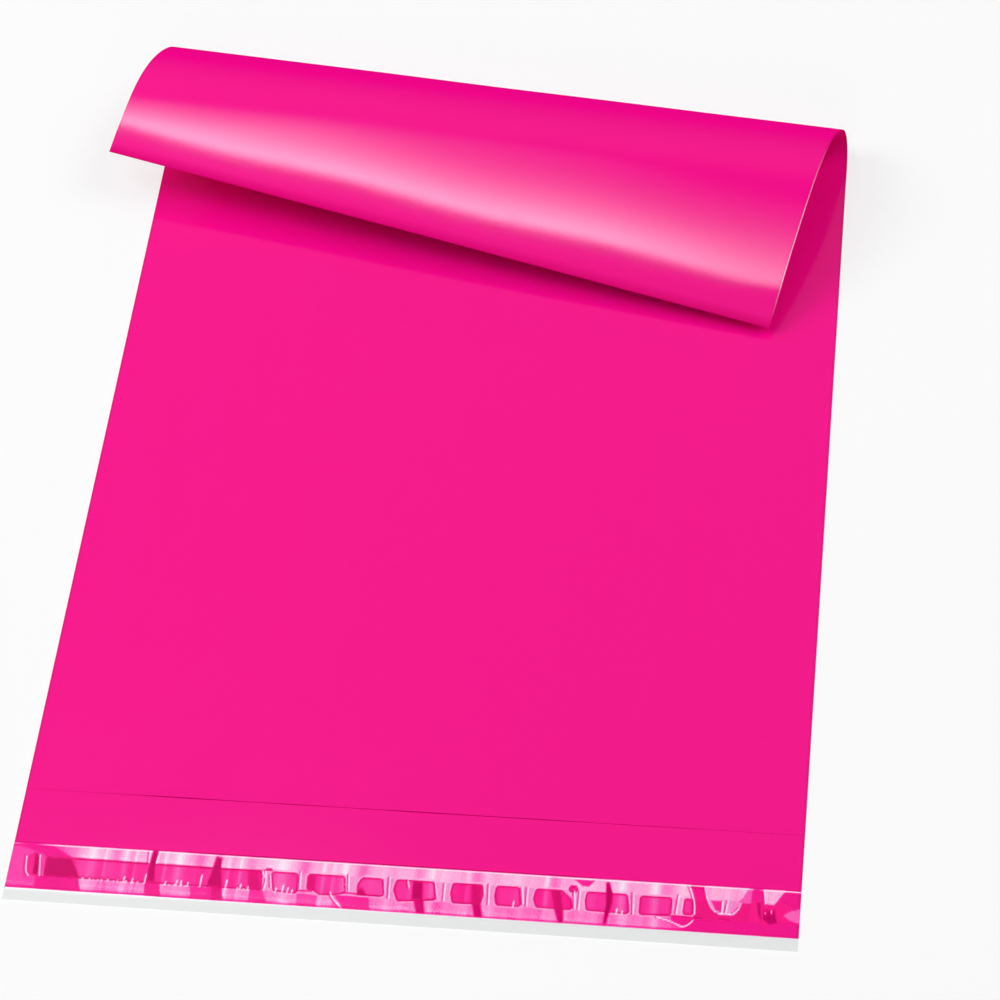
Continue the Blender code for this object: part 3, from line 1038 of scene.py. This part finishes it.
def liner_color(tree, tone):
    """The liner's colour: painted shade or painted reflection over the flap by its tone, and grey past the
    flap.
    """
    is_pale = add_node(tree, "MapRange", {"From Min": -SIGN_FADE, "From Max": SIGN_FADE}, {"Value": tone})
    paleness = add_node(tree, "MapRange", {"From Max": ALMOST_WHITE_TONE}, {"Value": tone})
    pale = add_node(
        tree, "Mix", {"data_type": "RGBA", 6: linear(LINER_REFLECTION_VIOLET), 7: linear(LINER_REFLECTION_WHITE)}, {0: paleness}
    )
    pink = add_node(
        tree, "Mix", {"data_type": "RGBA", 6: linear(LINER_SHADE_PINK)}, {0: is_pale, 7: pale.outputs[2]}
    )
    place = add_node(tree, "TexCoord")
    axes = add_node(tree, "SeparateXYZ", links={"Vector": place.outputs["Object"]})
    past_flap = add_node(
        tree,
        "MapRange",
        {"From Min": FLAP_EDGE, "From Max": FLAP_EDGE - GREY_FADE},
        {"Value": axes.outputs["Y"]},
    )
    color = add_node(
        tree, "Mix", {"data_type": "RGBA", 7: linear(LINER_GREY)}, {0: past_flap, 6: pink.outputs[2]}
    )
    return color.outputs[2]


def make_liner_material():
    material, tree, shader = new_material("silicone_coated_clear_film")
    tone = add_node(tree, "Attribute", {"attribute_name": "tone"}).outputs["Fac"]
    size = add_node(tree, "Math", {"operation": "ABSOLUTE"}, {0: tone})
    cover = add_node(
        tree, "MapRange", {"From Max": 1 / FULL_COVER_TONE, "To Max": FULL_COVER}, {"Value": size}
    )
    mirror = add_node(
        tree,
        "MapRange",
        {"From Min": CREASED_TONE, "From Max": SMOOTH_TONE, "To Max": FULL_MIRROR},
        {"Value": tone},
    )
    links = {"Base Color": liner_color(tree, tone), "Alpha": cover, "Specular IOR Level": mirror}
    set_node(tree, shader, {"Roughness": 0.12, "IOR": 1.49}, links)
    return material


# %% [markdown]
# ### The liner in its place
# Clear film this thin throws no shadow that one can see, so its shadow is turned off. Its flat size
# is the bag's width by 22.8 mm.

# %% Liner
liner = finished(liner_bmesh(), "liner", make_liner_material())
liner.visible_shadow = False
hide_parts("release_liner")
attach(liner, "root")
print("liner:", len(liner.data.polygons), "faces")

# %% [markdown]
# ## The adhesive strip
# The adhesive is a clear hot-melt band laid on the flap by a slot nozzle, so its edges waver a
# little and its ends are round. It shows only through the liner's cells, as a faint grain in the
# pink. It is as clear as the liner, so its shadow is turned off too.

# %% Adhesive
GLUE_COLUMNS = 276
GLUE_ROWS = 9
GLUE_WAVER = 0.00025
GLUE_WAVES = (310, 97)
GLUE_FULLNESS = 0.96
GLUE_END = 0.05
GLUE_DEEP = "EE0A7C"
GLUE_LIGHT = "FA1F8C"


def make_adhesive_material():
    material, tree, shader = new_material("clear_hot_melt")
    place = add_node(tree, "TexCoord")
    noise = add_node(tree, "TexNoise", {"Scale": 420.0, "Detail": 3.0}, {"Vector": place.outputs["Object"]})
    color = add_node(
        tree, "Mix", {"data_type": "RGBA", 6: linear(GLUE_DEEP), 7: linear(GLUE_LIGHT)}, {0: noise}
    )
    set_node(tree, shader, {"Roughness": 0.3, "Alpha": 0.12}, {"Base Color": color.outputs[2]})
    return material


def adhesive_bmesh():
    bm = flat_box(GLUE_COLUMNS, GLUE_ROWS, 1)
    size = glue_high - glue_low
    middle = (glue_low.y + glue_high.y) / 2
    for vert in bm.verts:
        across, along, up = vert.co.x + 0.5, vert.co.y, vert.co.z
        from_end = min(1.0, min(across, 1 - across) * size.x / (size.y / 2))
        round_end = math.sqrt(max(GLUE_END, from_end * (2 - from_end)))
        waver = GLUE_WAVER * math.sin(GLUE_WAVES[0] * across) * math.sin(GLUE_WAVES[1] * across)
        y = middle + along * size.y * round_end * GLUE_FULLNESS + waver
        vert.co = (glue_low.x + across * size.x, y, glue_low.z + up * size.z)
    return bm


adhesive = finished(adhesive_bmesh(), "adhesive", make_adhesive_material())
adhesive.visible_shadow = False
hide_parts("adhesive_strip")
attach(adhesive, "root")
print("adhesive:", len(adhesive.data.polygons), "faces")

# %% [markdown]
# ## Floor
# The floor is a plain, almost white sheet. It also glows by itself, but only for the camera and for
# rays that the film mirrors or the liner lets through. This keeps it almost white without stronger
# lamps, and it still takes the bag's shadow.

# %% Floor
FLOOR_SIZE = 6.0
FLOOR_DROP = 0.0002
FLOOR_WHITE = "F6F6F6"
GLOW_WHITE = "FDFDFD"
FLOOR_GLOW = 0.68


def make_floor_material():
    material, tree, shader = new_material("pale_floor")
    settings = {"Roughness": 0.9, "Specular IOR Level": 0.0, "Base Color": linear(FLOOR_WHITE)}
    set_node(tree, shader, settings)
    ray = add_node(tree, "LightPath")
    by_film = add_node(
        tree,
        "Math",
        {"operation": "MAXIMUM"},
        {0: ray.outputs["Is Glossy Ray"], 1: ray.outputs["Is Transmission Ray"]},
    )
    seen = add_node(tree, "Math", {"operation": "MAXIMUM"}, {0: ray.outputs["Is Camera Ray"], 1: by_film})
    share = add_node(tree, "Math", {"operation": "MULTIPLY", 1: FLOOR_GLOW}, {0: seen})
    glow = add_node(tree, "Emission", {"Color": linear(GLOW_WHITE)})
    mix = add_node(tree, "MixShader", links={0: share, 1: shader, 2: glow})
    set_node(tree, tree.nodes["Material Output"], links={"Surface": mix})
    return material


floor_plate = bmesh.new()
bmesh.ops.create_grid(floor_plate, x_segments=1, y_segments=1, size=FLOOR_SIZE / 2)
bmesh.ops.translate(floor_plate, vec=(0, 0, -FLOOR_DROP), verts=floor_plate.verts)
floor = finished(floor_plate, "floor", make_floor_material())
print("floor:", FLOOR_SIZE, "m wide")

# %% [markdown]
# ## Soft lamps
# Most of the light comes from two wide soft lamps, one on each side, where the flat film doesn't
# mirror them towards the camera, so the pink stays deep. A weak one low in front reaches under the
# roll's free edge, and keeps the shadow there a dark pink. Each lamp has its place, its size in
# metres and its power in watts.

# %% Soft lamps
BAG_MIDDLE = (0.0, 0.15, 0.0)
SOFT_LAMPS = {
    "left_lamp": ((-1.1, 0.3, 1.1), (0.8, 0.8), 12.4),
    "right_lamp": ((1.05, 0.6, 1.3), (0.8, 0.8), 11.6),
    "front_lamp": ((0.0, -1.05, 0.60), (0.6, 0.4), 3.2),
}


def add_lamp(name, place, aim, size, power, turn=0.0):
    """Adds an area lamp."""
    lamp_data = bpy.data.lights.new(name, "AREA")
    lamp_data.shape = "RECTANGLE"
    lamp_data.size, lamp_data.size_y = size
    lamp_data.energy = power
    lamp = bpy.data.objects.new(name, lamp_data)
    bpy.context.scene.collection.objects.link(lamp)
    lamp.matrix_world = aimed(place, aim, turn)
    return lamp_data


for name, (place, size, power) in SOFT_LAMPS.items():
    add_lamp(name, place, BAG_MIDDLE, size, power)
print("soft lamps:", *SOFT_LAMPS)

# %% [markdown]
# ## The gleam
# The pale gleam along the roll is the mirror image of one more lamp, a long, slightly cool softbox
# high over the bag's left side. Its light is strongest along one long edge and fades across it,
# which is why the gleam has one crisp edge and melts away upwards. It also weakens towards both
# ends. An area lamp's own nodes can do this, because Geometry's Parametric output runs from 0 to 1
# across it: here X starts at the bright edge, and Y at the end that the roll's right side mirrors.

# %% Gleam lamp
GLEAM_HEIGHT = 2.5
GLEAM_EDGE = Vector((-0.7475, 0.1585))
GLEAM_SIZE = (0.80, 1.725)
GLEAM_ANGLE = math.radians(32.9)
GLEAM_POWER = 59.3
GLEAM_COLOR = (0.92, 0.92, 1.0)
GLEAM_STEEPNESS = 4.0
GLEAM_TAIL = 0.14
# Each end: where it is, where the light is full again, and how strong it still is at the end
GLEAM_ENDS = [(0.0, 0.29, 0.57), (1.0, 0.80, 0.05)]


def fade_lamp(lamp_data):
    """Makes a lamp strongest along one long edge, and weaker across it and towards its ends."""
    lamp_data.use_nodes = True
    tree = lamp_data.node_tree
    place = add_node(tree, "NewGeometry")
    axes = add_node(tree, "SeparateXYZ", links={"Vector": place.outputs["Parametric"]})
    across = add_node(tree, "Math", {"operation": "SUBTRACT", 0: 1.0}, {1: axes.outputs["X"]})
    core = add_node(tree, "Math", {"operation": "POWER", 1: GLEAM_STEEPNESS}, {0: across})
    fade = add_node(tree, "Mix", {0: GLEAM_TAIL}, {2: core, 3: across})
    ends = None
    for start, full, level in GLEAM_ENDS:
        settings = {"From Min": start, "From Max": full, "To Min": level}
        end = add_node(tree, "MapRange", settings, {"Value": axes.outputs["Y"]})
        ends = add_node(tree, "Math", {"operation": "MULTIPLY"}, {0: ends, 1: end}) if ends else end
    strength = add_node(tree, "Math", {"operation": "MULTIPLY"}, {0: fade, 1: ends})
    set_node(tree, tree.nodes["Emission"], links={"Strength": strength})


gleam_side = Vector((math.cos(GLEAM_ANGLE), math.sin(GLEAM_ANGLE)))
gleam_middle = GLEAM_EDGE + gleam_side * GLEAM_SIZE[0] / 2
gleam_place = (gleam_middle.x, gleam_middle.y, GLEAM_HEIGHT)
gleam_aim = (gleam_middle.x, gleam_middle.y, 0.0)
gleam = add_lamp("gleam_lamp", gleam_place, gleam_aim, GLEAM_SIZE, GLEAM_POWER, GLEAM_ANGLE)
gleam.color = GLEAM_COLOR
fade_lamp(gleam)
print("gleam lamp:", GLEAM_POWER, "W")

# %% [markdown]
# ## Surroundings
# The surroundings are grey and light the bag evenly from all round. They are dim at the horizon,
# which the flat film mirrors at low angles, and straight overhead, where a bright sky would wash
# out the pink. Heights go from 0 at the horizon to 1 straight overhead.

# %% World
SKY_LEVELS = [(0.0, 0.03), (0.76, 0.22), (0.90, 0.22), (0.975, 0.04)]


def make_world():
    world = bpy.data.worlds.new("pale_surroundings")
    world.use_nodes = True
    tree = world.node_tree
    way = add_node(tree, "TexCoord")
    axes = add_node(tree, "SeparateXYZ", links={"Vector": way.outputs["Generated"]})
    ramp = add_node(tree, "ValToRGB", links={"Fac": axes.outputs["Z"]})
    stops = ramp.color_ramp.elements
    while len(stops) < len(SKY_LEVELS):
        stops.new(0.5)
    for stop, (height, level) in zip(stops, SKY_LEVELS):
        stop.position = height
        stop.color = (level, level, level, 1.0)
    set_node(tree, tree.nodes["Background"], links={"Color": ramp})
    bpy.context.scene.world = world


make_world()
print("sky:", SKY_LEVELS)

# %% [markdown]
# ## Finish
# The Standard view keeps colours as they are written.

# %% Finish
bpy.context.scene.view_settings.view_transform = "Standard"
bpy.context.view_layer.update()
